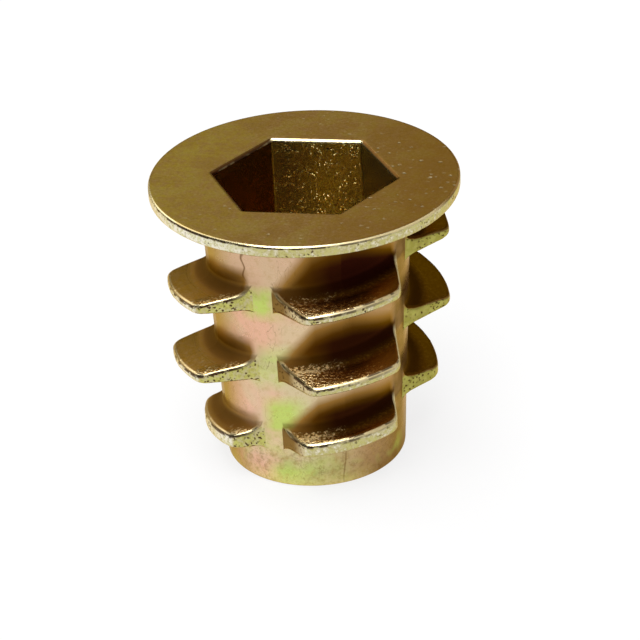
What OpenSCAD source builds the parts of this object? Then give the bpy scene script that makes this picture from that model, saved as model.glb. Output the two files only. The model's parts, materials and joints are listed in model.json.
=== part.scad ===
// Hex-drive threaded insert for wood: one zinc die casting with a thin flange, a coarse
// notched outer thread and a tapped bore. It stands on its lower end, flange up, with its
// axis on Z, the lower face on z = 0 and two flats of the socket facing -Y and +Y.

/* [Overall] */
// Length of the insert, from its lower face to the top of its flange
length = 19.4; // [17:0.1:26]

/* [Flange] */
// Diameter of the flange
flange_d = 19.5; // [17:0.1:26]
// Thickness of the flange
flange_t = 0.8; // [0.6:0.05:1.5]
// Radius on the flange's rim edges
rim_r = 0.2; // [0.1:0.05:0.25]
// Radius of the fillet between the flange and the body
neck_r = 0.35; // [0.1:0.05:0.6]

/* [Body] */
// Diameter of the body just under the flange
body_top_d = 13.3; // [12.8:0.1:15]
// Diameter of the body at its lower end, smaller by the mould's draft
body_end_d = 11.7; // [11.5:0.1:12.6]
// Chamfer round the outside of the lower end
end_chamfer = 0.2; // [0.1:0.05:0.3]

/* [Hex socket] */
// Width of the socket across its flats
socket_af = 10.1; // [9:0.1:10.4]
// Depth of the socket's flats
socket_depth = 7.5; // [5:0.1:9]
// Chamfer round the socket's mouth
socket_chamfer = 0.15; // [0.05:0.05:0.3]

/* [Tapped bore] */
// Diameter of the bore, over the crests of the inner thread
bore_d = 8.5; // [6.8:0.1:8.9]
// Diameter of the countersink at the bore's lower mouth
bore_mouth_d = 10; // [9:0.1:10.4]

/* [Outer thread] */
// Diameter over the outer thread's crest
thread_d = 18; // [16:0.1:19]
// Rise of the thread in one turn, right-handed
pitch = 5.05; // [4.5:0.05:6]
// Depth of the ridge's middle below the flange's top face, where the thread ends
thread_top = 3.4; // [3:0.1:5]
// Least height of the ridge's middle above the lower face
thread_foot = 0.7; // [0.6:0.1:3]
// Angle from -Y, seen from above, to the middle of the segments nearest the front
thread_clock = 28; // [0:1:89]
// Thickness of the ridge at its crest
crest_t = 0.6; // [0.4:0.05:0.8]
// Slope of the ridge's upper flank
upper_slope = 10; // [4:1:16]
// Slope of the ridge's lower flank
lower_slope = 4; // [2:1:12]
// Fillet between the upper flank and the body
upper_fillet = 0.6; // [0.3:0.05:0.8]
// Fillet between the lower flank and the body
lower_fillet = 0.2; // [0.1:0.05:0.5]
// Chamfer on the crest's edges
crest_chamfer = 0.1; // [0.05:0.05:0.15]

/* [Lead-in] */
// Height above the lower face at which the crest begins to taper
lead_in_h = 7.6; // [5:0.1:10]
// Angle of the crest's taper to the axis
lead_in_angle = 19; // [10:1:24]

/* [Notches] */
// Number of notches that cut the thread into segments, round the body
notches = 4; // [2:1:4]
// Width of a notch at the body
notch_w = 1.4; // [0.8:0.1:2.5]
// Angle between a notch's side and the notch's middle plane
notch_angle = 60; // [50:1:66]
// Radius on a segment's outer corners
corner_r = 0.9; // [0.3:0.1:1.2]

/* [Hidden] */
$fn = 96;
eps = 0.01;                         // how far a cut runs past the face it opens
sink = 0.3;                         // how deep a segment is rooted in the body
arc_steps = 4;                      // steps along a rounded corner or fillet
crest_steps = 8;                    // steps along a segment's crest
side_steps = 3;                     // steps along a notch's flat side
fillet_shares = [0, 0.12, 0.32, 0.6, 1];        // where a flank's fillet bends, as a share of it
under_z = length - flange_t;        // height of the flange's underside
mouth_h = (bore_mouth_d - bore_d) / 2;
sector = 360 / notches;
thread_end = thread_clock + 1.5 * sector;       // angle of the thread's upper end
segments = floor((length - thread_top - thread_foot) * notches / pitch);

// Radius of the body at a height
function body_r(z) = (body_end_d + (body_top_d - body_end_d) * z / under_z) / 2;

// Height of the ridge's middle at an angle, counted down from the thread's upper end
function ridge_z(a) = length - thread_top - pitch * (thread_end - a) / 360;

// Radius of the ridge's crest at an angle, tapered in the lead-in
function crest_r(a) =
    thread_d / 2 - max(0, lead_in_h - ridge_z(a)) * tan(lead_in_angle);

// Height of a fillet above the flank, at a distance out from the body's wall
function fillet_h(r, out) =
    out >= r ? 0 : out <= 0 ? r : r - sqrt(r * r - (r - out) * (r - out));

// Half the ridge's thickness at a radius, above and below its middle
function above(r, root_r) = crest_t / 2
    + (thread_d / 2 - r) * tan(upper_slope) + fillet_h(upper_fillet, r - root_r);
function below(r, root_r) = crest_t / 2
    + (thread_d / 2 - r) * tan(lower_slope) + fillet_h(lower_fillet, r - root_r);

function arc(centre, r, a0, a1, steps) =
    [for (i = [0:steps]) let (a = a0 + (a1 - a0) * i / steps)
        centre + r * [cos(a), sin(a)]];
function reversed(list) = [for (i = [len(list) - 1:-1:0]) list[i]];

// A segment's end in plan, from its crest inwards, as [radius, angle from the notch's
// middle]: a rounded corner, then the notch's flat side down to just inside the body
function segment_end(outer_r, root_r) =
    let (
        side_r = (root_r - notch_w / 2 / tan(notch_angle)) * sin(notch_angle),
        corner_a = notch_angle - asin((side_r - corner_r) / (outer_r - corner_r)),
        corner = (outer_r - corner_r) * [cos(corner_a), sin(corner_a)],
        round_end = arc(corner, corner_r, corner_a, notch_angle - 90, arc_steps),
        side_end = norm(round_end[arc_steps]),
        side_radii = [for (i = [1:side_steps])
            side_end + (root_r - sink / 2 - side_end) * i / side_steps]
    )
    concat(
        [for (p = round_end) [norm(p), atan2(p.y, p.x)]],
        [for (r = side_radii) [r, notch_angle - asin(side_r / r)]]
    );

// A segment's outline in plan, as [radius, angle from -Y], by rising angle
function segment_outline(a) =
    let (
        low = segment_end(crest_r(a - sector / 4), body_r(ridge_z(a - sector / 4))),
        high = segment_end(crest_r(a + sector / 4), body_r(ridge_z(a + sector / 4))),
        low_a = a - sector / 2 + low[0][1],
        high_a = a + sector / 2 - high[0][1]
    )
    concat(
        [for (p = reversed(low)) [p[0], a - sector / 2 + p[1]]],
        [for (i = [1:crest_steps - 1])
            let (b = low_a + (high_a - low_a) * i / crest_steps) [crest_r(b), b]],
        [for (p = high) [p[0], a + sector / 2 - p[1]]]
    );

// Points of a segment on one ray from the axis, from its root to its outline
function ray(p, side) =
    let (
        mid_z = ridge_z(p[1]),
        root_r = body_r(mid_z),
        in_r = root_r - sink,
        run = p[0] - crest_chamfer - in_r,
        bends = len(fillet_shares),
        radii = concat(
            [in_r],
            [for (i = [0:bends - 1])
                min(root_r + upper_fillet * fillet_shares[i], in_r + run * (i + 1) / (bends + 1))],
            [in_r + run, p[0]]
        )
    )
    [for (i = [0:len(radii) - 1])
        let (
            r = radii[i],
            cut = i == len(radii) - 1 ? crest_chamfer : 0,
            h = side > 0 ? above(r, root_r) - cut : cut - below(r, root_r)
        )
        [r * sin(p[1]), -r * cos(p[1]), mid_z + h]];

// One segment of the thread: upper and lower flanks, crest, root and two ends
module segment(a) {
    outline = segment_outline(a);
    n = len(outline);
    m = len(fillet_shares) + 3;
    points = [for (side = [1, -1]) for (p = outline) each ray(p, side)];
    function top(i, j) = i * m + j;
    function bottom(i, j) = (n + i) * m + j;
    flanks = [for (i = [0:n - 2]) for (j = [0:m - 2]) each [
        [top(i, j), top(i + 1, j), top(i + 1, j + 1)],
        [top(i, j), top(i + 1, j + 1), top(i, j + 1)],
        [bottom(i, j), bottom(i + 1, j + 1), bottom(i + 1, j)],
        [bottom(i, j), bottom(i, j + 1), bottom(i + 1, j + 1)]
    ]];
    walls = [for (i = [0:n - 2]) each [
        [top(i, m - 1), top(i + 1, m - 1), bottom(i + 1, m - 1)],
        [top(i, m - 1), bottom(i + 1, m - 1), bottom(i, m - 1)],
        [top(i + 1, 0), top(i, 0), bottom(i, 0)],
        [top(i + 1, 0), bottom(i, 0), bottom(i + 1, 0)]
    ]];
    low_end = concat(
        [for (j = [0:m - 1]) top(0, j)],
        [for (j = [m - 1:-1:0]) bottom(0, j)]
    );
    high_end = concat(
        [for (j = [m - 1:-1:0]) top(n - 1, j)],
        [for (j = [0:m - 1]) bottom(n - 1, j)]
    );
    polyhedron(points, concat(flanks, walls, [low_end, high_end]));
}

// The outer thread, one segment after another down the helix
module outer_thread() {
    for (i = [0:segments - 1])
        segment(thread_end - sector * (i + 0.5));
}

// Body and flange as one turned form
module blank() {
    top_r = flange_d / 2;
    neck_wall = body_top_d / 2;
    rotate_extrude()
        polygon(concat(
            [[0, 0], [body_r(0) - end_chamfer, 0], [body_r(end_chamfer), end_chamfer]],
            arc([neck_wall + neck_r, under_z - neck_r], neck_r, 180, 90, arc_steps),
            arc([top_r - rim_r, under_z + rim_r], rim_r, -90, 0, arc_steps),
            arc([top_r - rim_r, length - rim_r], rim_r, 0, 90, arc_steps),
            [[0, length]]
        ));
}

module hex_socket() {
    across_corners = socket_af / cos(30);
    translate([0, 0, length - socket_depth])
        cylinder(h = socket_depth + eps, d = across_corners, $fn = 6);
    translate([0, 0, length - socket_chamfer])
        cylinder(h = socket_chamfer + eps, d1 = across_corners,
            d2 = across_corners + 2 * (socket_chamfer + eps) / cos(30), $fn = 6);
}

module tapped_bore() {
    translate([0, 0, -eps])
        cylinder(h = length, d = bore_d);
    translate([0, 0, -eps])
        cylinder(h = mouth_h + eps, d1 = bore_mouth_d + 2 * eps, d2 = bore_d);
}

module insert() {
    color([0.55, 0.45, 0.2])
        difference() {
            union() {
                blank();
                outer_thread();
            }
            hex_socket();
            tapped_bore();
        }
}

insert();
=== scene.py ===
# %% [markdown]
# # A hex-drive threaded insert
# The insert is one zinc die casting: a round body, a thin flange, a hexagonal socket that a key
# turns, a tapped bore for a machine screw, and a coarse outer thread that bites into wood. Four
# notches cut that thread into segments, so that it cuts its own way in. The casting then gets a
# yellow chromate finish, an olive-gold skin with pink and green in it.
#
# The measured solid comes first, as the frame. Everything below is built round its sizes.

import json
import math

import bmesh
import bpy
from mathutils import Matrix, Vector


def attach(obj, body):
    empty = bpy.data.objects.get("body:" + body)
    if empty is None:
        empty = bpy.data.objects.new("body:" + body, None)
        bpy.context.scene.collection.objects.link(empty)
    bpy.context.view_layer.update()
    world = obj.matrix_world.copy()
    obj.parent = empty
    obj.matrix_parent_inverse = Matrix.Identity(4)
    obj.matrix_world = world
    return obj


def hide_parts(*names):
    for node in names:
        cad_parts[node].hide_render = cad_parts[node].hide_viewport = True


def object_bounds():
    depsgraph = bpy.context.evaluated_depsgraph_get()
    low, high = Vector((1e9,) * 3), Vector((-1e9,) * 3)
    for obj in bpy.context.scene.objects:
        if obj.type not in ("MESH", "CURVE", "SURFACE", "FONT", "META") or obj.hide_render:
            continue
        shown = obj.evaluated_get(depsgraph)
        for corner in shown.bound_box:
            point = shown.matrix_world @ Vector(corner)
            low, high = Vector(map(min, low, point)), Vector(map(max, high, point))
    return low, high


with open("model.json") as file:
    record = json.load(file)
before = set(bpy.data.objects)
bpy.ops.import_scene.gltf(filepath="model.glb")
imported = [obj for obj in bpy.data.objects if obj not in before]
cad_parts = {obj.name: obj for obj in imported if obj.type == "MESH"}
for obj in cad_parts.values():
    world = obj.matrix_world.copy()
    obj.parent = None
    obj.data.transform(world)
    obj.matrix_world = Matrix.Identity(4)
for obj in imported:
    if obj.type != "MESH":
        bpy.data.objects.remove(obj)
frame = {"record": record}
cad_low, cad_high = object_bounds()
print("CAD box in mm:", [round(1000 * (b - a), 2) for a, b in zip(cad_low, cad_high)])

# %% [markdown]
# ## Sizes
# The overall sizes and the bore come from the frame. The others are the casting's own sizes,
# in millimetres, and each has one name. Lengths become metres when they are multiplied by MM,
# and angles become radians when they are multiplied by DEG.

# %% Name the sizes
MM = 0.001
DEG = math.pi / 180

mounts = {mount["name"]: mount for mount in frame["record"]["mounts"]}
bore = mounts["tapped_bore"]
bore_r = bore["dims"]["r_mm"] * MM
bore_half = bore["dims"]["length_mm"] * MM / 2
bore_low_z = bore["pos_m"][2] - bore_half        # top of the countersink
socket_floor_z = bore["pos_m"][2] + bore_half
under_z = mounts["flange_seat"]["pos_m"][2]      # the flange's underside
length = cad_high.z
flange_r = cad_high.x

rim_r = 0.2 * MM
neck_r = 0.35 * MM
foot_r = 0.2 * MM
body_top_r = 6.65 * MM
body_end_r = 5.85 * MM
socket_af = 10.1 * MM
mouth_r = 0.3 * MM
countersink_r = 5.0 * MM

print("bore radius", round(bore_r / MM, 3), "mm")
print("socket floor at", round(socket_floor_z / MM, 2), "mm")

# %% [markdown]
# ## Sums that write their own nodes
# Both the thread's shape and the finish are sums over a whole surface. Written as nodes, such
# sums are hard to read, so one small class lets Python write them: a Term holds a node's output
# socket, and each sum or product of terms adds the Math node, or the Vector Math node, that
# works it out. A Net adds the nodes, and is used for geometry and for materials alike.

# %% Define a Term
class Term:
    """A node's output socket, which can stand in a sum."""

    def __init__(self, net, socket):
        self.net = net
        self.socket = socket

    def __add__(self, other):
        return self.net.join("ADD", self, other)

    def __radd__(self, other):
        return self.net.join("ADD", other, self)

    def __sub__(self, other):
        return self.net.join("SUBTRACT", self, other)

    def __rsub__(self, other):
        return self.net.join("SUBTRACT", other, self)

    def __mul__(self, other):
        return self.net.join("MULTIPLY", self, other)

    def __rmul__(self, other):
        return self.net.join("MULTIPLY", other, self)

    def __truediv__(self, other):
        return self.net.join("DIVIDE", self, other)

    def __rtruediv__(self, other):
        return self.net.join("DIVIDE", other, self)

    def __neg__(self):
        return self.net.join("SUBTRACT", 0.0, self)


# %% Define a Net
class Net:
    """Adds nodes to one tree."""

    def __init__(self, tree):
        self.tree = tree

    def node(self, kind, sockets=(), out=0, **settings):
        """A node of that kind: its settings are set first, then its sockets."""
        made = self.tree.nodes.new(kind)
        for name, value in settings.items():
            setattr(made, name, value)
        pairs = sockets.items() if isinstance(sockets, dict) else enumerate(sockets)
        for key, value in pairs:
            if isinstance(value, Term):
                self.tree.links.new(value.socket, made.inputs[key])
            elif value is not None:
                made.inputs[key].default_value = value
        return Term(self, made.outputs[out])

    def join(self, operation, *terms, clamp=False):
        """One Math node, or one Vector Math node where a vector takes part."""
        vectors = [
            isinstance(t, Vector) or isinstance(t, Term) and t.socket.type == "VECTOR"
            for t in terms
        ]
        if any(vectors):
            if operation == "MULTIPLY" and not all(vectors):
                vector, value = terms if vectors[0] else reversed(terms)
                return self.node(
                    "ShaderNodeVectorMath", {"Vector": vector, "Scale": value}, operation="SCALE"
                )
            return self.node("ShaderNodeVectorMath", terms, operation=operation)
        return self.node("ShaderNodeMath", terms, operation=operation, use_clamp=clamp)

    def least(self, a, b):
        """The smaller of two values."""
        return self.join("MINIMUM", a, b)

    def most(self, a, b):
        """The larger of two values."""
        return self.join("MAXIMUM", a, b)

    def is_less(self, a, b):
        """1 where a is less than b, and 0 elsewhere."""
        return self.join("LESS_THAN", a, b)

    def plain(self, value):
        """The value without its sign."""
        return self.join("ABSOLUTE", value)

    def root(self, value):
        """The square root."""
        return self.join("SQRT", value)

    def sine(self, turn):
        return self.join("SINE", turn)

    def cosine(self, turn):
        return self.join("COSINE", turn)

    def arcsine(self, value):
        return self.join("ARCSINE", value)

    def parts(self, vector):
        """The X, Y and Z of a vector."""
        split = self.node("ShaderNodeSeparateXYZ", [vector]).socket.node
        return [Term(self, socket) for socket in split.outputs]

    def share(self, value, start, end):
        """How far value has come from start to end, held between 0 and 1."""
        return self.join("DIVIDE", value - start, end - start, clamp=True)

    def pick(self, test, yes, no):
        """yes where test is 1 and no where it is 0."""
        return no + (yes - no) * test

    def end(self, kind, shown):
        """The tree's output node, which that Term feeds."""
        output = self.tree.nodes.new(kind)
        self.tree.links.new(shown.socket, output.inputs[0])


# %% [markdown]
# ## Trees that grow a mesh
# A Geometry Nodes tree is a recipe: sizes go in and a mesh comes out. Each size is a named input
# of the tree, so that it could be turned by hand in the modifier panel. Here the tree is put on
# an empty object, the finished mesh is read back, and the empty object is thrown away.

# %% Start a tree, finish it and grow its mesh
def geometry_tree(name, sizes):
    """A Geometry Nodes tree with one named input for each size, and its Net and inputs."""
    tree = bpy.data.node_groups.new(name, "GeometryNodeTree")
    tree.interface.new_socket("Geometry", in_out="INPUT", socket_type="NodeSocketGeometry")
    for size in sizes:
        tree.interface.new_socket(size, in_out="INPUT", socket_type="NodeSocketFloat")
    tree.interface.new_socket("Material", in_out="INPUT", socket_type="NodeSocketMaterial")
    tree.interface.new_socket("Geometry", in_out="OUTPUT", socket_type="NodeSocketGeometry")
    net = Net(tree)
    source = tree.nodes.new("NodeGroupInput")
    return net, {s.name: Term(net, s) for s in source.outputs if s.name}


def finish_tree(net, geometry, material):
    """Ends a tree in plain mesh with its material."""
    real = net.node("GeometryNodeRealizeInstances", [geometry])
    done = net.node("GeometryNodeSetMaterial", {"Geometry": real, "Material": material})
    net.end("NodeGroupOutput", done)


def grown_mesh(net, sizes, material):
    """The plain mesh that a tree makes with those sizes."""
    seed = bpy.data.objects.new(net.tree.name, bpy.data.meshes.new(net.tree.name))
    bpy.context.scene.collection.objects.link(seed)
    modifier = seed.modifiers.new("grow", "NODES")
    modifier.node_group = net.tree
    for item in net.tree.interface.items_tree:
        if item.in_out == "INPUT" and item.name in sizes:
            modifier[item.identifier] = sizes[item.name]
        elif item.in_out == "INPUT" and item.name == "Material":
            modifier[item.identifier] = material
    graph = bpy.context.evaluated_depsgraph_get()
    mesh = bpy.data.meshes.new_from_object(seed.evaluated_get(graph))
    seed.modifiers.remove(modifier)
    bpy.data.objects.remove(seed)
    print(net.tree.name, "has", len(mesh.vertices), "points and", len(mesh.polygons), "faces")
    return mesh


# %% [markdown]
# ## The outer wall and its thread
# The ridge climbs round the body as a right-handed helix. It could be swept along a curve, but a
# sweep can't narrow where a notch cuts it, and joining twelve separate segments to the body
# would leave a ragged seam in the soft fillets. So wall and ridge are one skin: a flat grid is
# wrapped round the body, and a sum gives each point its place.
#
# Columns of the grid go round the body, a fixed number to each notch-to-notch sector, closer
# together where the outline turns. Rows go up across the ridge: half of the crest, its rounded
# edge, the flank, the fillet, and the wall as far as half a pitch away, where the next turn
# takes over. Points that fall together are merged, so the skin has no seam.

# %% Sizes of the outer thread
notches = 4
sector_deg = 360 / notches      # from one notch to the next
clock_deg = 28                  # from -Y to the middle of the segments nearest the front
thread_sizes = {
    "Pitch": 5.05 * MM,
    "Thread radius": 9.0 * MM,
    "Thread end height": length - 3.4 * MM,
    "Thread end angle": (clock_deg + 1.5 * sector_deg) * DEG,
    "Segments": 12,
    "Notches": notches,
    "Crest half thickness": 0.3 * MM,
    "Upper slope": math.tan(10 * DEG),
    "Lower slope": math.tan(4 * DEG),
    "Upper fillet": 0.6 * MM,
    "Lower fillet": 0.2 * MM,
    "Edge radius": 0.24 * MM,
    "Lead-in height": 7.6 * MM,
    "Lead-in slope": math.tan(19 * DEG),
    "Notch half width": 0.7 * MM,
    "Notch side angle": 60 * DEG,
    "Corner radius": 0.9 * MM,
    "Body end radius": body_end_r,
    "Body slope": (body_top_r - body_end_r) / under_z,
    "Low": foot_r,
    "High": under_z - neck_r,
    "Parting line height": 0.010 * MM,
    "Parting line half width": 0.09 * MM,
    "Unevenness": 0.02 * MM,
}

# %% Count the grid's columns and rows: where each stretch ends, counted from its start
COLUMNS = {"gap": 3, "side": 13, "corner": 19, "crest": 23, "parting line": 25}
ROWS = {"crest": 2, "edge": 6, "flank": 12, "fillet": 18, "wall": 22}


def stretches(net, steps, ends):
    """For each stretch, how far the count of steps has come through it, from 0 to 1."""
    starts = [0, *ends.values()]
    return {name: net.share(steps, start, end) for (name, end), start in zip(ends.items(), starts)}


# %% Make a flat grid and wrap it round the axis
SEAM = 0.001 * MM


def counted_grid(net, across, half_rows):
    """A grid with a point at each column and row, and each point's column and row."""
    grid = net.node("GeometryNodeMeshGrid", {
        "Size X": across, "Size Y": 2 * half_rows,
        "Vertices X": across + 1, "Vertices Y": 2 * half_rows + 1,
    })
    x, row, _ = net.parts(net.node("GeometryNodeInputPosition"))
    return grid, x + across / 2, row


def wrap_round(net, grid, r, angle, z):
    """The grid with its points at those radii, angles and heights, and no open seam."""
    place = net.node("ShaderNodeCombineXYZ", [r * net.sine(angle), -r * net.cosine(angle), z])
    wrapped = net.node("GeometryNodeSetPosition", {"Geometry": grid, "Position": place})
    return net.node("GeometryNodeMergeByDistance", {"Geometry": wrapped, "Distance": SEAM})


# %% Work out the ridge's height, the wall's radius and the crest's radius
def ridge_z(size, angle):
    """Height of the ridge's middle at an angle."""
    turns = (size["Thread end angle"] - angle) / (2 * math.pi)
    return size["Thread end height"] - size["Pitch"] * turns


def wall_r(size, z):
    """Radius of the body at a height: the mould's draft narrows it downwards."""
    return size["Body end radius"] + size["Body slope"] * z


def crest_r(net, size, z):
    """Radius of the crest at a height: it narrows towards the lower end."""
    lead_in = net.most(0.0, size["Lead-in height"] - z)
    return size["Thread radius"] - lead_in * size["Lead-in slope"]


# %% [markdown]
# Seen from above, a segment of the ridge has an arc for its crest, a rounded corner at each end,
# and a flat side where the notch cuts it. The flat side's line passes the axis at a distance,
# and that distance gives every other point. Angles are counted from the notch's middle.

# %% Work out a segment's outline, seen from above
def side_distance(net, size, inner_r):
    """How far from the axis the flat side's line passes."""
    inset = size["Notch half width"] / net.join("TANGENT", size["Notch side angle"])
    return (inner_r - inset) * net.sine(size["Notch side angle"])


def corner_angle(net, size, outer_r, side_r):
    """Angle of the rounded corner's centre."""
    rounding = size["Corner radius"]
    return size["Notch side angle"] - net.arcsine((side_r - rounding) / (outer_r - rounding))


def touch_angle(net, size, outer_r, side_r):
    """Angle at which the rounded corner runs into the flat side."""
    slant, rounding = size["Notch side angle"], size["Corner radius"]
    turn = corner_angle(net, size, outer_r, side_r)
    centre_r = outer_r - rounding
    return net.join(
        "ARCTAN2",
        centre_r * net.sine(turn) - rounding * net.cosine(slant),
        centre_r * net.cosine(turn) + rounding * net.sine(slant),
    )


def outline_r(net, size, from_notch, root_r, outer_r):
    """Radius of the outline at an angle: flat side, then rounded corner, then crest."""
    rounding = size["Corner radius"]
    side_r = side_distance(net, size, root_r)
    centre_r = outer_r - rounding
    turn = from_notch - corner_angle(net, size, outer_r, side_r)
    reach = centre_r * net.sine(turn)
    bulge = net.root(net.most(0.0, rounding * rounding - reach * reach))
    corner_r = centre_r * net.cosine(turn) + bulge
    side = side_r / net.sine(size["Notch side angle"] - from_notch)
    outline = net.pick(net.is_less(turn, 0.0), corner_r, outer_r)
    on_side = net.is_less(from_notch, touch_angle(net, size, outer_r, side_r))
    return net.pick(on_side, side, outline)


# %% Give each column its sector and its angle
LINE_WIDTH = 1.2 * DEG      # the last two columns before a parting line
NUDGE = 0.01                # keeps a whole number of columns from being rounded down


def column_angles(net, size, column):
    """A column's sector, its angle, and its angle from the nearer notch's middle."""
    sector_angle = 2 * math.pi / size["Notches"]
    half_columns = COLUMNS["parting line"]
    sector = net.join("FLOOR", (column + NUDGE) / (2 * half_columns))
    past_middle = column - sector * (2 * half_columns) - half_columns
    passed = stretches(net, half_columns - net.plain(past_middle), COLUMNS)

    # The columns stand at the same angles in every turn, so that neighbouring turns meet
    wall_mean = wall_r(size, size["Lead-in height"])
    side_mean = side_distance(net, size, wall_mean)
    at_wall = size["Notch side angle"] - net.arcsine(side_mean / wall_mean)
    at_side = touch_angle(net, size, size["Thread radius"], side_mean)
    at_corner = corner_angle(net, size, size["Thread radius"], side_mean)
    from_notch = (
        at_wall * passed["gap"]
        + (at_side - at_wall) * passed["side"]
        + (at_corner - at_side) * passed["corner"]
        + (sector_angle / 2 - LINE_WIDTH - at_corner) * passed["crest"]
        + LINE_WIDTH * passed["parting line"]
    )
    start = size["Thread end angle"] - (size["Segments"] + size["Notches"]) * sector_angle
    middle = start + (sector + 0.5) * sector_angle
    angle = middle + net.join("SIGN", past_middle) * (sector_angle / 2 - from_notch)
    return sector, angle, from_notch


# %% Give each row its radius and height across the ridge
def across_ridge(net, size, row, mid_z, root_r, proud):
    """Radius and height of a point, where the ridge stands that far proud of the wall."""
    is_upper = net.is_less(0.0, row)
    fillet = net.pick(is_upper, size["Upper fillet"], size["Lower fillet"])
    slope = net.pick(is_upper, size["Upper slope"], size["Lower slope"])
    climbed = stretches(net, net.plain(row), ROWS)
    edge = net.least(size["Edge radius"], proud / 2)
    fillet_out = net.least(fillet, proud - edge)
    quarter = math.pi / 2
    first_turn = net.arcsine(net.join("SUBTRACT", 1.0, fillet_out / fillet, clamp=True))
    fillet_turn = first_turn + (quarter - first_turn) * climbed["fillet"]
    out = (
        proud
        - edge * (1 - net.cosine(quarter * climbed["edge"]))
        - (proud - edge - fillet_out) * climbed["flank"]
        - (fillet_out - fillet * (1 - net.sine(fillet_turn)))
    )
    left = fillet - net.least(out, fillet)
    fillet_rise = fillet - net.root(net.most(0.0, fillet * fillet - left * left))
    flank_rise = size["Crest half thickness"] + (size["Thread radius"] - root_r - out) * slope
    rise = flank_rise + fillet_rise - edge * (1 - net.sine(quarter * climbed["edge"]))
    rise = rise * climbed["crest"]
    rise = rise + (size["Pitch"] / 2 - rise) * climbed["wall"]
    z = mid_z + net.join("SIGN", row) * rise
    z = net.least(net.most(z, size["Low"]), size["High"])
    near_wall = 1 - net.join("DIVIDE", out, fillet, clamp=True)
    return root_r + out + (wall_r(size, z) - root_r) * near_wall, z


# %% Lift the mould's parting lines, and make the cast wall a little uneven
FADE_OUT = 0.4 * MM     # neither reaches the foot's edge or the neck


def cast_skin(net, size, skin):
    """The skin with its parting lines a hair proud and its walls not quite even."""
    sector_angle = 2 * math.pi / size["Notches"]
    where = net.node("GeometryNodeInputPosition")
    px, py, pz = net.parts(where)
    around = net.join("ARCTAN2", px, -py) - size["Thread end angle"] - sector_angle / 2
    off_line = net.join("WRAP", around, -sector_angle / 2, sector_angle / 2)
    radius = net.root(px * px + py * py)
    off = radius * net.sine(off_line) / size["Parting line half width"]
    line = net.join("SUBTRACT", 1.0, off * off, clamp=True) * size["Parting line height"]
    uneven = net.node("ShaderNodeTexNoise", {
        "Vector": where, "Scale": 900.0, "Detail": 2.0, "Roughness": 0.5,
    })
    inside = net.share(pz, size["Low"], size["Low"] + FADE_OUT)
    inside = inside * net.share(pz, size["High"], size["High"] - FADE_OUT)
    lift = (line + (uneven - 0.5) * 2 * size["Unevenness"]) * inside
    normal = net.node("GeometryNodeInputNormal")
    return net.node("GeometryNodeSetPosition", {"Geometry": skin, "Offset": normal * lift})


# %% Build the tree of the outer wall and thread
def outer_wall_tree():
    net, size = geometry_tree("outer wall and thread", thread_sizes)
    # One spare turn above the thread and one below cover the bare wall
    sectors = size["Segments"] + 2 * size["Notches"]
    across = sectors * (2 * COLUMNS["parting line"])
    grid, column, row = counted_grid(net, across, ROWS["wall"])
    sector, angle, from_notch = column_angles(net, size, column)
    mid_z = ridge_z(size, angle)
    root_r = wall_r(size, mid_z)
    outline = outline_r(net, size, from_notch, root_r, crest_r(net, size, mid_z))

    # The ridge stands proud of the wall only between the thread's two ends
    before_first = size["Notches"] - 0.5
    after_last = size["Notches"] + size["Segments"] - 0.5
    present = net.is_less(before_first, sector) * net.is_less(sector, after_last)
    proud = net.most(0.0, outline - root_r) * present
    r, z = across_ridge(net, size, row, mid_z, root_r, proud)
    skin = cast_skin(net, size, wrap_round(net, grid, r, angle, z))
    finish_tree(net, skin, size["Material"])
    return net


# %% [markdown]
# ## The inner thread
# A tap cuts the inner thread: a fine groove that also climbs right-handed, 1.5 mm in a turn,
# from the bore's wall out to the screw's own radius. It is the same kind of skin, wrapped from
# a grid, and the countersink at the lower mouth cuts its first turn away. The groove dies out
# just under the socket's floor, where the tap stops.

# %% Sizes of the inner thread
TAP_COLUMNS = 72
TAP_ROWS = {"root": 1, "flank": 4, "crest": 6}
tap_sizes = {
    "Pitch": 1.5 * MM,
    "Wall radius": bore_r,
    "Groove radius": countersink_r,
    "Root half width": 0.1 * MM,
    "Flank half width": 0.53 * MM,
    "Turns": 10,
    "Countersink height": bore_low_z,
    "Top": socket_floor_z,
    "Run-out end": 0.1 * MM,
    "Run-out start": 1.0 * MM,
}


# %% Build the tree of the inner thread
def inner_thread_tree():
    net, size = geometry_tree("inner thread", tap_sizes)
    grid, column, row = counted_grid(net, size["Turns"] * TAP_COLUMNS, TAP_ROWS["crest"])
    turns = column / TAP_COLUMNS
    passed = stretches(net, net.plain(row), TAP_ROWS)
    root_w, flank_w = size["Root half width"], size["Flank half width"]
    off = (
        root_w * passed["root"]
        + (flank_w - root_w) * passed["flank"]
        + (size["Pitch"] / 2 - flank_w) * passed["crest"]
    )
    z = (turns - 1) * size["Pitch"] + net.join("SIGN", row) * off
    z = net.least(net.most(z, 0.0), size["Top"])
    full_depth = size["Groove radius"] - size["Wall radius"]
    run_out = net.share(z, size["Top"] - size["Run-out end"], size["Top"] - size["Run-out start"])
    shade_depth = full_depth * (1 - passed["flank"]) * run_out
    cone = full_depth * net.share(z, size["Countersink height"], 0.0)
    r = size["Wall radius"] + net.most(shade_depth, cone)
    finish_tree(net, wrap_round(net, grid, r, turns * (2 * math.pi), z), size["Material"])
    return net


# %% Grow both skins
chromate = bpy.data.materials.new("yellow_chromate")
outer_skin = grown_mesh(outer_wall_tree(), thread_sizes, chromate)
inner_skin = grown_mesh(inner_thread_tree(), tap_sizes, chromate)

# %% [markdown]
# ## Flange, socket and ends
# What is left is round or six-sided: the foot's edge, the neck, the flange's rim, the socket.
# A ring of points goes from level to level, and neighbouring rings are joined by a band of
# faces. Where two rings have different counts, such as the round rim and the hexagonal mouth,
# the flat face between them is zipped up by angle.

# %% Find the open edges of the two skins
casting_mesh = bmesh.new()
casting_mesh.from_mesh(outer_skin)
casting_mesh.from_mesh(inner_skin)


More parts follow.
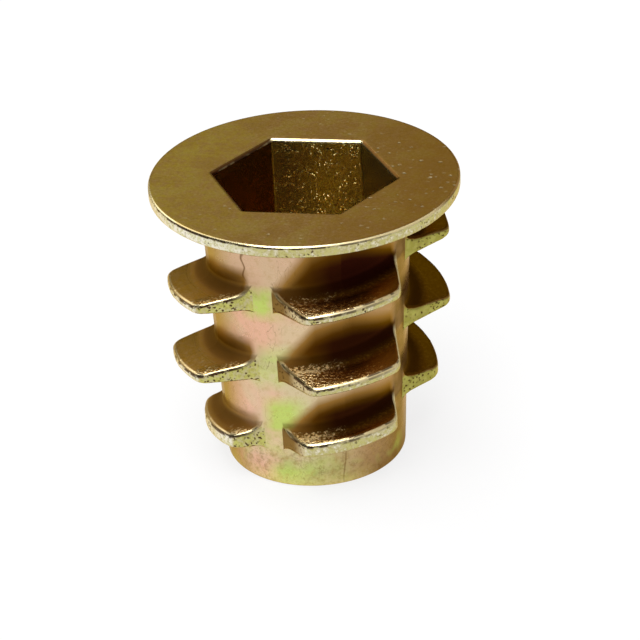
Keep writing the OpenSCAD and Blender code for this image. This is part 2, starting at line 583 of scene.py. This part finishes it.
def angle_of(point):
    """The angle round the axis, from -Y."""
    return math.atan2(point.co.x, -point.co.y) % (2 * math.pi)


def edge_ring(z):
    """The open edge of the skins at a height, as a ring of points by rising angle."""
    points = {p for e in casting_mesh.edges if e.is_boundary for p in e.verts}
    ring = sorted((p for p in points if abs(p.co.z - z) < 0.01 * MM), key=angle_of)
    print("open edge at", round(z / MM, 2), "mm has", len(ring), "points")
    return ring


neck_z = under_z - neck_r
foot_ring, neck_ring = edge_ring(foot_r), edge_ring(neck_z)
bore_low_ring, bore_high_ring = edge_ring(0.0), edge_ring(socket_floor_z)


# %% Make rings, join them by bands, and zip up flat faces
def ring_like(ring, shift, z):
    """A ring level with z, whose points are those of another ring moved out by shift."""
    made = []
    for point in ring:
        r = math.hypot(point.co.x, point.co.y)
        k = (r + shift) / r
        made.append(casting_mesh.verts.new((point.co.x * k, point.co.y * k, z)))
    return made


def round_ring(r, z, count):
    """A round ring of evenly spaced points."""
    turns = [2 * math.pi * i / count for i in range(count)]
    return [casting_mesh.verts.new((r * math.sin(a), -r * math.cos(a), z)) for a in turns]


def band(a, b):
    """Faces between two rings of the same count."""
    for i in range(len(a)):
        j = (i + 1) % len(a)
        casting_mesh.faces.new((a[i], a[j], b[j], b[i]))
    return b


def zip_up(a, b):
    """Triangles between two flat rings of any counts, matched by angle."""
    i = j = 0
    turn = 2 * math.pi
    while i < len(a) or j < len(b):
        next_a = angle_of(a[(i + 1) % len(a)]) + turn * ((i + 1) // len(a))
        next_b = angle_of(b[(j + 1) % len(b)]) + turn * ((j + 1) // len(b))
        here = (a[i % len(a)], b[j % len(b)])
        if j >= len(b) or (i < len(a) and next_a <= next_b):
            i += 1
            casting_mesh.faces.new((here[0], a[i % len(a)], here[1]))
        else:
            j += 1
            casting_mesh.faces.new((here[0], b[j % len(b)], here[1]))
    return b


# %% Foot: rounded edge, lower face, and the countersink's mouth
EDGE_STEPS = 5
HEM = 0.05 * MM         # a narrow flat band beside each rounded edge keeps the flat faces flat
quarter_turns = [math.pi / 2 * i / EDGE_STEPS for i in range(1, EDGE_STEPS + 1)]
ring = foot_ring
for t in quarter_turns:
    shift = -foot_r * (1 - math.cos(t))
    ring = band(ring, ring_like(foot_ring, shift, foot_r * (1 - math.sin(t))))
ring = band(ring, ring_like(ring, -HEM, 0.0))
zip_up(ring, bore_low_ring)

# %% Neck and flange: the fillet, the underside, the rim and the flat top
RIM_COUNT = 192
ring = neck_ring
for t in quarter_turns:
    shift = neck_r * (1 - math.cos(t))
    ring = band(ring, ring_like(neck_ring, shift, neck_z + neck_r * math.sin(t)))
ring = band(ring, ring_like(ring, HEM, under_z))

flat_r = flange_r - rim_r
levels = [(flat_r - HEM, under_z), (flat_r, under_z)]
levels += [
    (flat_r + rim_r * math.sin(t), under_z + rim_r * (1 - math.cos(t))) for t in quarter_turns
]
levels += [
    (flat_r + rim_r * math.cos(t), length - rim_r * (1 - math.sin(t)))
    for t in [0, *quarter_turns]
]
TOP_RINGS = 10
top_inner_r = 6.4 * MM
top_outer_r = flat_r - HEM
levels += [(top_outer_r, length)]
levels += [
    (top_outer_r + (top_inner_r - top_outer_r) * (i + 1) / TOP_RINGS, length)
    for i in range(TOP_RINGS)
]
rim_rings = [round_ring(r, z, RIM_COUNT) for r, z in levels]
zip_up(ring, rim_rings[0])
for below_ring, above_ring in zip(rim_rings, rim_rings[1:]):
    band(below_ring, above_ring)

# %% Socket: a hexagon with small round corners, from its mouth down to its floor
SOCKET_CORNER_R = 0.15 * MM
CORNER_STEPS = 4
FLAT_STEPS = 8


def hex_ring(grow, z):
    """The socket's outline, moved out by grow: round corners joined by flats."""
    flat = socket_af / 2 - SOCKET_CORNER_R
    points = []
    for side in range(6):
        a = (60 * side + 30) * DEG          # a corner's direction, from -Y
        centre = Vector((math.sin(a), -math.cos(a))) * (flat / math.cos(30 * DEG))
        for i in range(CORNER_STEPS + 1):
            b = a + (60 * i / CORNER_STEPS - 30) * DEG
            points.append(centre + Vector((math.sin(b), -math.cos(b))) * (SOCKET_CORNER_R + grow))
    full = []
    for i, point in enumerate(points):
        full.append(point)
        if i % (CORNER_STEPS + 1) == CORNER_STEPS:
            after = points[(i + 1) % len(points)]
            full += [point.lerp(after, k / FLAT_STEPS) for k in range(1, FLAT_STEPS)]
    return [casting_mesh.verts.new((p.x, p.y, z)) for p in full]


def by_angle(ring):
    """The same ring, started at its smallest angle."""
    first = min(range(len(ring)), key=lambda i: angle_of(ring[i]))
    return ring[first:] + ring[:first]


mouth_levels = [(mouth_r + HEM, length), (mouth_r, length)]
mouth_levels += [
    (mouth_r * (1 - math.sin(t)), length - mouth_r * (1 - math.cos(t))) for t in quarter_turns
]
SOCKET_RINGS = 8
wall_top_z = length - mouth_r
mouth_levels += [
    (0.0, wall_top_z + (socket_floor_z - wall_top_z) * i / SOCKET_RINGS)
    for i in range(1, SOCKET_RINGS + 1)
]
socket_rings = [by_angle(hex_ring(grow, z)) for grow, z in mouth_levels]
zip_up(rim_rings[-1], socket_rings[0])
for upper, lower in zip(socket_rings, socket_rings[1:]):
    band(upper, lower)
floor_ring = ring_like(socket_rings[-1], -HEM, socket_floor_z)
band(socket_rings[-1], floor_ring)
zip_up(floor_ring, bore_high_ring)

# %% Close the casting and turn its faces outwards
SAME_PLACE = 0.0005 * MM
SHARP_FROM = 24 * DEG
bmesh.ops.remove_doubles(casting_mesh, verts=casting_mesh.verts, dist=SAME_PLACE)
bmesh.ops.recalc_face_normals(casting_mesh, faces=casting_mesh.faces)
open_edges = [e for e in casting_mesh.edges if len(e.link_faces) != 2]
volume = casting_mesh.calc_volume(signed=True)
print("open edges", len(open_edges), "volume in mm3", round(volume / MM**3, 1))
casting_data = bpy.data.meshes.new("insert_casting")
casting_mesh.to_mesh(casting_data)
casting_mesh.free()
casting_data.materials.clear()
casting_data.materials.append(chromate)
casting_data.shade_smooth()
casting_data.set_sharp_from_angle(angle=SHARP_FROM)
casting = bpy.data.objects.new("insert_casting", casting_data)
bpy.context.scene.collection.objects.link(casting)
print("triangles", sum(len(p.vertices) - 2 for p in casting_data.polygons))

# %% [markdown]
# ## The yellow chromate finish
# Zinc castings are dipped in a chromate bath, which leaves a film thinner than the wavelength of
# The metal shines through it, so the finish is a metal with a coloured reflection and not
# a paint, and where the film is thicker or thinner its colour drifts: olive-brown on the flat
# upper faces, pale cream on edges, pink and apple green on the walls. On top of the film's own
# colours, light and shade are painted in: painted shade in the pockets above the fins and on the
# right, painted highlights on the pale edges, painted dark reflections beside them, and painted
# glints. All this could be painted on an image, but it follows the form. So one material works
# it out, from where a point lies and which way its face looks.

# %% Start the material, with helpers for its sums
def emptied_net(owner):
    """A Net on the emptied tree of a material or a world."""
    owner.use_nodes = True
    owner.node_tree.nodes.clear()
    return Net(owner.node_tree)


net = emptied_net(chromate)
place = net.node("ShaderNodeTexCoord", out="Object")
facing = net.node("ShaderNodeTexCoord", out="Normal")
px, py, pz = net.parts(place)
nx, ny, nz = net.parts(facing)


def by_mm(value, start, end):
    """How far a length has come from start to end, both in millimetres."""
    return net.share(value, start * MM, end * MM)


def by_degrees(value, start, end):
    """How far an angle has come from start to end, both in degrees."""
    return net.share(value, start * DEG, end * DEG)


def clamp(value):
    """The value held between 0 and 1."""
    return net.join("MULTIPLY", value, 1.0, clamp=True)


def noise(scale, detail=2.0, roughness=0.5, vector=place):
    """Soft uneven noise round 0.5: scale is how many lumps there are in a metre."""
    return net.node("ShaderNodeTexNoise", {
        "Vector": vector, "Scale": scale, "Detail": detail, "Roughness": roughness,
    })


def blend(factor, first, second):
    """A mix of two colours, each a triple of numbers or a Term."""
    colours = [(*c, 1.0) if isinstance(c, tuple) else c for c in (first, second)]
    return net.node(
        "ShaderNodeMix", {0: factor, 6: colours[0], 7: colours[1]}, out=2, data_type="RGBA",
    )


# %% Where a point lies, round the body and beside the thread
radius = net.root(px * px + py * py)
angle = net.join("ARCTAN2", px, -py)
notch_sector = sector_deg * DEG
pitch = thread_sizes["Pitch"]
end_angle = thread_sizes["Thread end angle"]
from_gap = net.join("WRAP", angle - end_angle, -notch_sector / 2, notch_sector / 2)
off_gap = net.plain(from_gap)
turns_down = (end_angle - angle) / (2 * math.pi)
from_top_turn = pz - thread_sizes["Thread end height"] + pitch * turns_down
above_ridge = net.join("WRAP", from_top_turn, 0.0, pitch)
ridge_height = pz - above_ridge
wall_radius = wall_r(thread_sizes, pz)
out = radius - wall_radius

# How far a point on a fin lies from its end, which is the flat side of the nearer notch
notch_slant = thread_sizes["Notch side angle"]
side_inset = 0.4 * MM
side_r = (wall_radius - side_inset) * math.sin(notch_slant)
from_end = side_r - radius * net.sine(notch_slant - off_gap)
print("nodes that find a point's place:", len(net.tree.nodes))

# %% [markdown]
# ### Masks
# A mask is a number from 0 to 1 over the surface: 1 where something holds, 0 where it doesn't,
# and a soft edge between. Multiplied masks mean *and*, and 1 less a mask means *not*. Painted
# masks would have to be painted again at each change of a size.

# %% Masks: which part of the casting a point is on
is_fin = by_mm(out, 0.3, 0.9) * net.share(pz, under_z - 0.1 * MM, under_z - 0.3 * MM)
is_flange = net.share(pz, under_z - 0.5 * MM, under_z - 0.1 * MM)
is_inside = by_mm(radius, 5.9, 5.8) * net.share(pz, length - 0.05 * MM, length - 0.2 * MM)
is_body = (1 - is_flange) * (1 - is_inside)
is_wall = (1 - is_fin) * is_body
fin_or_flange = clamp(is_fin + is_flange)

# %% Masks: which way the face looks
is_upper = net.share(nz, 0.55, 0.9)
is_upright = net.share(nz, 0.55, 0.3) * net.share(nz, -0.95, -0.8)
bends_up = net.share(nz, 0.15, 0.4) * net.share(nz, 0.95, 0.86)
is_edge = bends_up * fin_or_flange
tiny = 0.0001           # keeps a level face from being divided by nothing
level_part = net.root(nx * nx + ny * ny + tiny)
outward = (nx * px + ny * py) / (radius * level_part)
is_end = net.share(outward, 0.95, 0.88) * is_upright * is_body

# %% Masks: where on the thread, and on which side of the part
in_gap = by_degrees(off_gap, 7.0, 6.4)
near_gap = by_degrees(off_gap, 16, 6)
off_ridge = net.least(above_ridge, pitch - above_ridge)
by_ridge = by_mm(off_ridge, 1.4, 0.5)
has_thread = by_mm(ridge_height, 0.8, 1.0) * by_mm(ridge_height, 16.1, 16.0)
top_row = by_mm(pz, 12, 13.5)
low_row = by_mm(ridge_height, 6.5, 4.5)
backward = by_degrees(net.plain(angle), 140, 176)
leftward = by_degrees(angle, 28, 3) * (1 - backward)
rightward = by_degrees(angle, -10, 22) * (1 - backward)
right_fins = by_degrees(angle, 62, 75) * (1 - backward)

# %% [markdown]
# ### Painted shade in the pockets
# Each pocket is a band of painted shade on the wall just above a fin, and on the fin's top near
# its root, where shade falls. It reaches higher and is darker towards the right. One number, the
# shade, says how dark the painted shade is, and becomes a colour later on.

# %% How high the painted shade reaches on the wall above a fin
up_rows = by_mm(ridge_height, 4.5, 14)
rise = by_degrees(angle, -12, 12)
swell = rise * by_degrees(angle, 62, 34)
reach = (1.2 + 1.0 * rise + (0.9 + 1.4 * up_rows) * swell) * MM
fade = (1.0 + 0.3 * rise + (0.3 + 0.8 * up_rows) * swell) * MM
past_line = by_degrees(angle, 27.6, 28.2) * top_row
shade_depth = 0.46 + 0.48 * by_degrees(angle, -4, 22) * (1 - backward) - 0.2 * right_fins
in_front = net.share(above_ridge, reach, reach - fade) * (shade_depth + 0.03 * up_rows + 0.10 * past_line)

upper_rows = by_mm(ridge_height, 3.5, 6.5)
left_reach = 2.0 + 0.5 * upper_rows
on_left = by_mm(above_ridge, left_reach, left_reach - 1.1) * (0.50 + 0.14 * upper_rows)
on_left = on_left * (0.7 + 0.3 * net.most(by_degrees(angle, -26, -42), backward))
pocket_shade = net.pick(net.most(by_degrees(angle, -14, -20), backward), on_left, in_front)

# %% The painted shade: pockets on the wall, and the tops of the fins near their roots
fillet = net.share(nz, -0.05, 0.3) * by_mm(out, 1.3, 0.7)
pocket_shade = pocket_shade * (1 - 0.25 * fillet * (1 - rightward)) * by_mm(above_ridge, 0.1, 0.3)
pocket_shade = pocket_shade * by_mm(out, 1.3, 0.9) * (1 - is_end)
root = by_mm(out, 2.0, 0.4)
# Painted shade on the fins' tops: darker near the root, and darkest on the fins at the right
fin_shade = net.pick(rightward, 0.27 + 0.57 * root, 0.05 + 0.26 * root)
fin_shade = net.pick(right_fins, 0.66 + 0.04 * root, fin_shade)
on_top = by_mm(out, 0.3, 0.9) * net.share(nz, 0.3, 0.8)
shade = net.pick(on_top, fin_shade, pocket_shade)
beside_left = by_degrees(from_gap, -11.5, -7.2) * by_degrees(from_gap, -6, -6.6)
shade = shade * (1 - in_gap) * has_thread * is_body
shade = shade * (1 - beside_left * (1 - on_top))

# %% [markdown]
# ### Colours
# A metal's base colour is what it does to light that it reflects, so these are the colours of
# the film and not of the metal under it. Most are near each other, because a real finish has no
# sharp borders, and many small drifts together make it look alive.

# %% Colours of the film
# Besides the film's own colours, some paint light and shade: amber, rust and dark paint shade, clay
# paints the shade on the right, pale and white paint highlights on edges, and spark and flake paint
# glints.
PINK = (0.80, 0.47, 0.32)
SALMON = (0.86, 0.60, 0.46)
ROSE = (0.50, 0.29, 0.12)
CREAM = (0.66, 0.55, 0.33)
PALE = (0.80, 0.69, 0.40)
WHITE = (0.92, 0.88, 0.74)
GOLD = (0.88, 0.76, 0.22)
SPARK = (0.95, 0.80, 0.50)
PAINTED_GLINT = (0.97, 0.78, 0.42)
GREEN = (0.52, 0.66, 0.14)
LIME = (0.55, 0.54, 0.12)
MOSS = (0.52, 0.50, 0.20)
FERN = (0.32, 0.29, 0.05)
SAND = (0.54, 0.48, 0.25)
HAZEL = (0.62, 0.43, 0.27)
SHADE_CLAY = (0.46, 0.28, 0.125)
TAN = (0.42, 0.27, 0.08)
FAWN = (0.44, 0.235, 0.032)
OLIVE = (0.54, 0.37, 0.06)
BROWN = (0.44, 0.25, 0.06)
EARTH = (0.25, 0.15, 0.055)
AMBER = (0.32, 0.165, 0.035)
UMBER = (0.32, 0.15, 0.02)
SHADE_AND_CRACK_BROWN = (0.127, 0.051, 0.003)
DARK = (0.052, 0.010, 0.004)

# %% Walls: pink and cream patches, painted shade in clay on the right, tan on the left, mossy low down
patches = net.share(noise(230), 0.44, 0.60)
walls = blend(patches, PINK, CREAM)
low_wall = by_mm(pz, 9, 4) * by_mm(pz, 1, 3)
walls = blend(low_wall * 0.4, walls, SALMON)
walls = blend(top_row * 0.8, walls, HAZEL)
pale_middle = by_degrees(angle, -16, -5) * by_mm(pz, 13, 12)
walls = blend(pale_middle * 0.7, walls, CREAM)
low_band = by_mm(pz, 3.4, 1.8) * by_degrees(angle, -26, -10) * (1 - backward)
walls = blend(low_band * net.share(noise(700, 3.0), 0.30, 0.55), walls, MOSS)
# Painted shade: the walls on the right are clay brown
walls = blend(by_degrees(angle, 6, 44), walls, SHADE_CLAY)
foot_grain = net.share(noise(3300, 3.0, 0.7), 0.48, 0.64) * by_mm(pz, 3.6, 2.8)
walls = blend(foot_grain * 0.5 * (1 - backward), walls, EARTH)
# Painted shade: darker earth low down on the right
foot_right = by_degrees(angle, 34, 58) * by_mm(pz, 3.4, 2.4) * (1 - backward)
walls = blend(foot_right * 0.6, walls, EARTH)
walls = blend(by_degrees(angle, -34, -58), walls, TAN)

# %% Walls: painted shade in earth beside the notch at the right, green beside the notches, green spots by the foot
lumpy = net.share(noise(1300, 3.0), 0.36, 0.56)
beside_right = by_degrees(off_gap, 11, 5) * by_degrees(angle, 50, 60)
walls = blend(beside_right * (1 - backward) * (0.6 + 0.4 * lumpy), walls, EARTH)
green_gap = near_gap * by_ridge * leftward * (0.5 + 0.5 * by_mm(pz, 10, 12))
green_gap = green_gap * (0.45 + 0.55 * lumpy)
beside_gap = by_degrees(from_gap, -8, 2) * by_degrees(from_gap, 26, 12)
beside_gap = beside_gap * by_mm(above_ridge, 0.6, 1.0)
beside_gap = beside_gap * by_mm(above_ridge, 2.3 + 1.2 * low_row, 1.6 + 0.9 * low_row)
beside_gap = beside_gap * leftward * by_mm(pz, 13, 9)
spots = noise(420)
green_spots = net.share(spots, 0.54, 0.66) * by_mm(pz, 3.0, 1.2)
greens = clamp(green_gap + (0.5 + 0.5 * low_row) * beside_gap + 0.5 * green_spots) * is_wall
walls = blend(greens * 0.9, walls, GREEN)
cloud = noise(2600, 4.0, 0.7)
dapple = noise(5200, 3.0, 0.7)
walls = blend(net.share(cloud, 0.50, 0.80) * (0.5 + 0.3 * by_mm(pz, 3, 2)), walls, TAN)

# %% Fins: the crests, and the ends that the notches leave
# Painted highlight: crests that face left are whiter
crests = blend(net.share(nx, -0.05, -0.5), SAND, WHITE)
crests = blend(net.share(cloud, 0.46, 0.56) * 0.45, crests, LIME)
crests = blend(net.share(cloud, 0.46, 0.34) * 0.5, crests, WHITE)
crests = blend(net.share(dapple, 0.52, 0.66) * 0.35, crests, EARTH)
ends = blend(net.share(cloud, 0.42, 0.54) * 0.8, SAND, LIME)
ends = blend(right_fins * (0.4 + 0.55 * net.share(cloud, 0.62, 0.44)), ends, FERN)
facing_left = blend(by_mm(out, 0.8, 1.6), EARTH, CREAM)
ends = blend(net.share(nx, -0.2, -0.5), ends, facing_left)
ends = blend(net.share(dapple, 0.50, 0.64) * 0.35, ends, EARTH)

# %% Flat tops of the flange and the fins
drift = (noise(220) - 0.5) * 8 * MM
tops = blend(by_mm(px + drift, -8, -1), OLIVE, BROWN)
tops = blend(is_fin, tops, FAWN)
tops = blend(net.share(noise(1900, 4.0, 0.7), 0.40, 0.62) * 0.6, tops, ROSE)
tops = blend(net.share(dapple, 0.50, 0.75) * 0.45, tops, EARTH)
tops = blend(net.share(dapple, 0.48, 0.25) * 0.35, tops, CREAM)
blotch = noise(480, 3.0, 0.6)
tops = blend(is_flange * net.share(blotch, 0.44, 0.64) * 0.18, tops, EARTH)
tops = blend(is_flange * net.share(blotch, 0.52, 0.36) * 0.15, tops, LIME)
tops = blend(by_mm(px, 1, 8) * 0.5, tops, UMBER)

# %% Socket: walls that face the light are gold with sparks, the others umber
lit_walls = net.most(net.share(net.plain(ny), 0.6, 0.9), 0.8 * net.share(nx, -0.5, -0.8))
socket_walls = blend(net.share(dapple, 0.50, 0.64) * 0.4, GOLD, EARTH)
socket_walls = blend(net.share(dapple, 0.48, 0.38) * 0.4, socket_walls, SPARK)
dark_walls = blend(net.share(nx, 0.5, 0.8) * 0.45, UMBER, DARK)
socket_walls = blend(lit_walls, dark_walls, socket_walls)

# %% Put the film together, and paint the shade into it where the shade says
film = blend(is_end, walls, ends)
film = blend(is_upper, film, tops)
film = blend(is_upright * (1 - is_end) * fin_or_flange, film, crests)
film = blend(is_inside, film, socket_walls)
# Painted shade, in three steps: amber, then rust-brown, then dark
for colour, lightest in ((AMBER, 0.0), (SHADE_AND_CRACK_BROWN, 0.33), (DARK, 0.67)):
    film = blend(net.share(shade, lightest, lightest + 0.33), film, colour)
freckles = on_top * is_fin * (1 - 0.7 * right_fins) * net.share(dapple, 0.48, 0.64)
film = blend(freckles * 0.5, film, FAWN)
print("nodes with the film's colours:", len(net.tree.nodes))

# %% [markdown]
# ### Edges
# Handling wears the film off the edges first, so a rounded upper edge is a pale line. The pale
# film is also a painted highlight: it is left off the edges at the right and at the back of the
# flange, and toned down on fins facing left, and some crest edges have a thin dark line beside
# the pale one, a painted dark reflection. The socket's mouth is painted dark where it slopes away
# from the light, a painted shade, and pale at the back, a painted highlight.

# %% Edges: painted shade on the socket's mouth, pale lines that are wear and painted highlight
is_mouth = bends_up * by_mm(radius, 6.6, 6.3)
is_mouth = is_mouth * net.share(pz, length - 0.5 * MM, length - 0.3 * MM)
back_mouth = is_mouth * net.share(ny, -0.42, -0.55)
film = blend(is_mouth * 0.8, film, DARK)
end_edge = bends_up * by_mm(from_end, 0.24, 0.14) * by_mm(out, 0.1, 0.3)
pale_edge = net.most(is_edge * (1 - fillet), end_edge * is_body)
# The pale lines are both wear and a painted highlight, kept off edges that face away from the light
wear_and_highlight = pale_edge * (1 - right_fins) * (1 - 0.8 * is_flange * net.share(ny, 0.1, 0.5))
wear_and_highlight = wear_and_highlight * (1 - 0.7 * is_fin * net.share(nx, -0.25, -0.6) * (1 - end_edge))
film = blend(clamp(wear_and_highlight + back_mouth), film, PALE)
film = blend(end_edge * net.share(nx, -0.15, -0.4) * 0.6, film, TAN)

# %% Edges: painted dark reflections, broken by noise, along the crests
broken = noise(1700)
low_edge = net.share(nz, 0.06, 0.16) * net.share(nz, 0.60, 0.46) * fin_or_flange
low_edge = low_edge * (1 - backward) * by_degrees(angle, 50, 20) * net.share(broken, 0.43, 0.51)
high_edge = net.share(nz, 0.97, 0.90) * net.share(nz, 0.66, 0.76) * is_fin
high_edge = high_edge * by_degrees(angle, 14, 24) * by_degrees(angle, 54, 44)
high_edge = high_edge * net.share(broken, 0.44, 0.50)
film = blend(clamp(low_edge + high_edge) * 0.85, film, DARK)

# %% [markdown]
# ### Pits, specks and cracks
# A casting's skin has small pits where gas was trapped, and hair cracks where the metal met half
# cold. Bright specks are painted glints, where a small bump would catch the light. Cells of a
# Voronoi texture give round marks, but in a regular crowd, so the cells are warped by noise and
# only some of them are picked.

# %% Pits, and specks that are painted glints
wander = net.node("ShaderNodeTexNoise", {"Vector": place, "Scale": 5000.0, "Detail": 2.0}, out=1)
wandering = place + (wander - Vector((0.5, 0.5, 0.5))) * (0.30 * MM)


def cells(scale, out=0):
    """A warped field of cells, scale of them in a metre: distance to a middle, or colour."""
    return net.node("ShaderNodeTexVoronoi", {"Vector": wandering, "Scale": scale}, out=out)


pit_field = net.share(noise(700) + is_end * 0.14, 0.52, 0.64)
pits = net.share(cells(4200), 0.36, 0.24) * pit_field
pits = pits * is_upright * clamp(is_fin + is_flange + is_end)
film = blend(pits * 0.9, film, DARK)

picked = net.share(net.node("ShaderNodeSeparateColor", [cells(2400, out=1)]), 0.66, 1.0)
specks = net.share(cells(2400), 0.36, 0.16) * picked
speck_field = net.share(spots + by_mm(px, -6, 9) * 0.2, 0.57, 0.70)
speck_part = clamp(is_flange + is_fin * by_degrees(angle, -16, -24))
top_specks = specks * is_upper * speck_part * speck_field
# Painted glints: bright specks on the flange and the tops of the fins
film = blend(top_specks * 0.8, film, SPARK)

# Painted glints: bright specks on the socket's back wall
well_specks = net.share(cells(4600), 0.34, 0.14) * is_inside * net.share(ny, -0.4, -0.9)
well_specks = well_specks * net.share(noise(1500), 0.40, 0.56) * by_mm(px, -4, 0)
film = blend(well_specks * 0.55, film, SPARK)

# %% Hair cracks, and the two longer lines, under the flange and by the foot
stretched = place * Vector((1.0, 1.0, 0.35))
crack = net.plain(noise(900, 3.0, 0.6, vector=stretched) - 0.5)
crack = net.share(crack, 0.006, 0.002) * net.share(noise(560, 1.0), 0.56, 0.60)
film = blend(crack * is_wall * (1 - shade) * 0.4, film, SHADE_AND_CRACK_BROWN)
sway = (noise(500) - 0.5) * 14 * DEG
high_line = by_degrees(net.plain(angle + 28 * DEG + sway), 0.9, 0.3)
high_line = high_line * by_mm(pz, 14.8, 15.2)
low_line = by_degrees(net.plain(angle - 27 * DEG + 0.4 * sway), 0.7, 0.2)
low_line = low_line * by_mm(pz, 3.4, 3.0) * 0.7
film = blend(clamp(high_line + low_line) * is_wall * 0.7, film, SHADE_AND_CRACK_BROWN)

# %% [markdown]
# ### Rough cast sparkle
# The tops of the front fins came out of the mould rough, and each tiny lump throws its own
# glint. Sharp bumps alone would flicker from one sample to the next, so the lumps are coarse
# enough to see, and their tops are also given a bright film, a painted glint.

# %% Where the fins are rough: left of the front, along the rim, and by the ends
at_left = by_degrees(angle, 28, 4) * by_degrees(angle, -22, -14)
at_left = at_left * (1 - 0.7 * top_row * by_mm(out, 1.7, 0.9))
at_rim = 0.55 * by_mm(out, 1.3, 2.1) * by_degrees(angle, 44, 14)
at_rim = at_rim * by_degrees(angle, -22, -14)
by_end = (0.5 + 0.5 * low_row) * by_mm(from_end, 0.9, 0.4) * by_degrees(angle, 30, 10)
by_end = by_end * by_degrees(from_gap, -3, -6) * (1 - backward)
rough_cast = net.most(at_left, net.most(at_rim, by_end)) * is_fin * is_upper
rough_cast = rough_cast * (1 - pale_edge)

# %% Lumps and their painted glints
lumps = noise(5600, 2.0, 0.6)
film = blend(rough_cast * net.share(lumps, 0.34, 0.48) * 0.9, film, TAN)
# Painted glint: a bright film on the lumps' tops and on fine spots
glint = net.share(lumps + 0.24 * rough_cast, 0.61, 0.70) + 0.5 * net.share(dapple, 0.60, 0.68)
film = blend(clamp(glint) * net.share(rough_cast, 0.0, 0.15), film, PAINTED_GLINT)

# %% Surface: height of the small marks, dull places, and the metal itself
grain = noise(9000, 3.0, 0.6)
height = grain * 0.008 + rough_cast * lumps * 0.18
height = height - clamp(pits + top_specks) * 0.02 + well_specks * 0.03
bump = net.node("ShaderNodeBump", {"Height": height, "Distance": MM, "Strength": 1.0})
dull_fillet = fillet * by_mm(out, -0.1, 0.1) * (1 - end_edge)
dull = net.most(pocket_shade * 0.6, dull_fillet) * is_body
dull = net.most(dull, 0.8 * is_edge * net.share(nx, 0.15, 0.45))
surface = net.node("ShaderNodeBsdfPrincipled", {
    "Base Color": film, "Metallic": 1.0, "Roughness": 0.27 + 0.55 * dull, "Normal": bump,
    "Specular Tint": (0.90, 0.72, 0.42, 1.0),
})
net.end("ShaderNodeOutputMaterial", surface)
print("nodes in the whole finish:", len(net.tree.nodes))

# %% [markdown]
# ## Floor and room
# A polished metal part shows the room more than it shows itself. A white sheet lies under it, so
# upright faces are pale. The room is dim behind the part and on the right, and dark in front.
# One wide soft light overhead draws a bright line along every rounded upper edge, and a smaller,
# weaker one stands at the back on the left. Lamps could be placed instead, but a room drawn by a
# sum is easier to shape to what the metal should show. The camera sees plain white in its place.

# %% Floor
FLOOR_HALF = 2.0
GLOW = 0.8              # how much of the sheet's look is its own white
floor_data = bpy.data.meshes.new("floor")
corners = [(-1, -1), (1, -1), (1, 1), (-1, 1)]
floor_points = [(x * FLOOR_HALF, y * FLOOR_HALF, 0) for x, y in corners]
floor_data.from_pydata(floor_points, [], [(0, 1, 2, 3)])
floor = bpy.data.objects.new("floor", floor_data)
bpy.context.scene.collection.objects.link(floor)

paper = bpy.data.materials.new("paper")
floor_data.materials.append(paper)
net = emptied_net(paper)
seen = net.most(
    net.node("ShaderNodeLightPath", out="Is Camera Ray"),
    net.node("ShaderNodeLightPath", out="Is Glossy Ray"),
)
seen = net.most(seen, net.node("ShaderNodeLightPath", out="Is Transmission Ray"))
matt = net.node("ShaderNodeBsdfDiffuse", {"Color": (0.90, 0.90, 0.90, 1.0)})
white = net.node("ShaderNodeEmission", {"Color": (1.0, 1.0, 1.0, 1.0), "Strength": 1.0})
sheet = net.node("ShaderNodeMixShader", [seen * GLOW, matt, white])
net.end("ShaderNodeOutputMaterial", sheet)

# %% Room: each light is an oval in the upper half, with a soft edge
OVERHEAD = {"middle": (-0.08, -0.30), "half": (0.32, 0.47), "edge": (1.1, 0.8), "level": 6.5}
WINDOW = {"middle": (-0.62, 0.35), "half": (0.26, 0.30), "edge": (1.2, 0.7), "level": 2.2}
world = bpy.data.worlds.new("studio")
bpy.context.scene.world = world
net = emptied_net(world)
look = net.node("ShaderNodeTexCoord", out="Generated")
lx, ly, lz = net.parts(look)
behind = net.share(ly, -0.2, 0.6) * net.share(lz, 0.08, 0.40)
level = 0.03 + 0.48 * behind
level = level * (1 - 0.4 * net.share(lx, -0.2, 0.8)) + 0.38 * net.share(lx, 0.3, 0.8)
for light in (OVERHEAD, WINDOW):
    across = (lx - light["middle"][0]) / light["half"][0]
    along = (ly - light["middle"][1]) / light["half"][1]
    oval = net.share(across * across + along * along, *light["edge"]) * net.share(lz, 0.0, 0.1)
    level = net.pick(oval, light["level"], level)
level = net.pick(net.node("ShaderNodeLightPath", out="Is Camera Ray"), 1.0, level)
room = net.node("ShaderNodeBackground", {"Color": (1.0, 1.0, 1.0, 1.0), "Strength": level})
net.end("ShaderNodeOutputWorld", room)

# %% [markdown]
# ## Camera
# A small part looks best from some way off through a long lens, which keeps its near and far
# edges much the same size. The camera stands a little to the right and looks down at the flange.
# It is placed by angles round the point it looks at, and rolled a little, as if set by hand.

# %% Camera
aim = Vector((0.56, 0.10, 8.95)) * MM
azimuth, elevation, roll = 10 * DEG, 29.31 * DEG, -2.77 * DEG
distance = 160.5 * MM
camera_data = bpy.data.cameras.new("camera")
camera_data.lens = 140.2
camera_data.sensor_width = 36
camera_data.clip_start = 0.01
camera = bpy.data.objects.new("camera", camera_data)
bpy.context.scene.collection.objects.link(camera)
back = Vector((
    math.sin(azimuth) * math.cos(elevation),
    -math.cos(azimuth) * math.cos(elevation),
    math.sin(elevation),
))
camera.location = aim + distance * back
camera.rotation_mode = "QUATERNION"
rolled = Matrix.Rotation(roll, 3, "Z").to_quaternion()
camera.rotation_quaternion = (-back).to_track_quat("-Z", "Y") @ rolled
bpy.context.scene.camera = camera
bpy.context.scene.view_settings.view_transform = "Standard"
print("camera at", [round(value / MM, 1) for value in camera.location], "mm")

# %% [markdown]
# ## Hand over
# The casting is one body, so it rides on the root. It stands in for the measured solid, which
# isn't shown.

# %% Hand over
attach(casting, "root")
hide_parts("insert")
